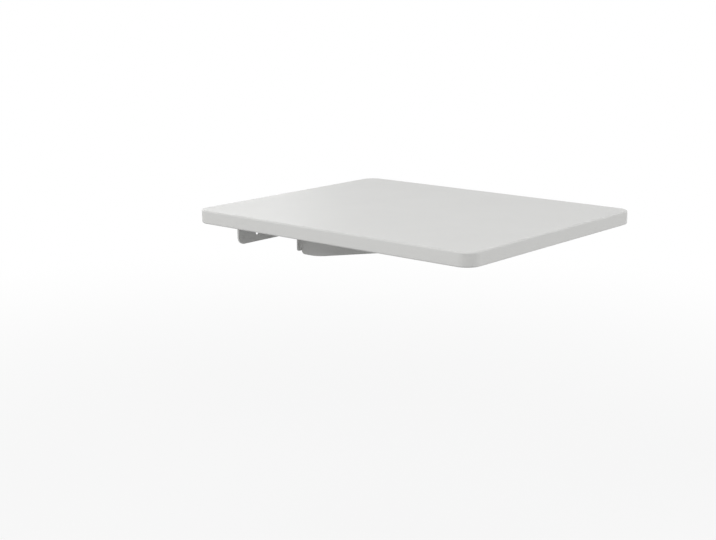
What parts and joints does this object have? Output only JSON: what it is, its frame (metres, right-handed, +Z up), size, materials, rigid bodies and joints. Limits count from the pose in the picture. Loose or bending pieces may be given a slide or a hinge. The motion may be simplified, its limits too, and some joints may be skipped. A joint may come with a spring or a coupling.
{
  "type": "hang-on nightstand",
  "caption": "Flat lacquered bedside board with rounded corners on a welded steel bracket that hooks over a bed's side rail.",
  "frame": {"origin": "middle of the seat on the bed's side rail: half way through the rail's thickness, at the height of its top", "axes": "+X away from the bed, along the board's length; +Y towards the head end of the bed; +Z up"},
  "size_m": [0.5075, 0.4, 0.0965],
  "materials": {
    "board_lacquer": "satin opaque lacquer, pale warm grey",
    "bracket_paint": "fine satin powder coat, pale warm grey",
    "insert_brass": "plain turned",
    "screw_zinc": "bright zinc plated",
    "pad_felt": "pressed grey felt"
  },
  "bodies": {
    "root": {"board": "board_lacquer", "carrier_plate": "bracket_paint", "back_plate": "bracket_paint", "support_web": "bracket_paint", "web_top_welds": "bracket_paint", "web_back_welds": "bracket_paint", "back_plate_welds": "bracket_paint", "board_inserts": "insert_brass", "board_screws": "screw_zinc", "rail_top_pad": "pad_felt", "hook_leg_pad": "pad_felt", "heel_pad": "pad_felt"}
  },
  "joints": []
}
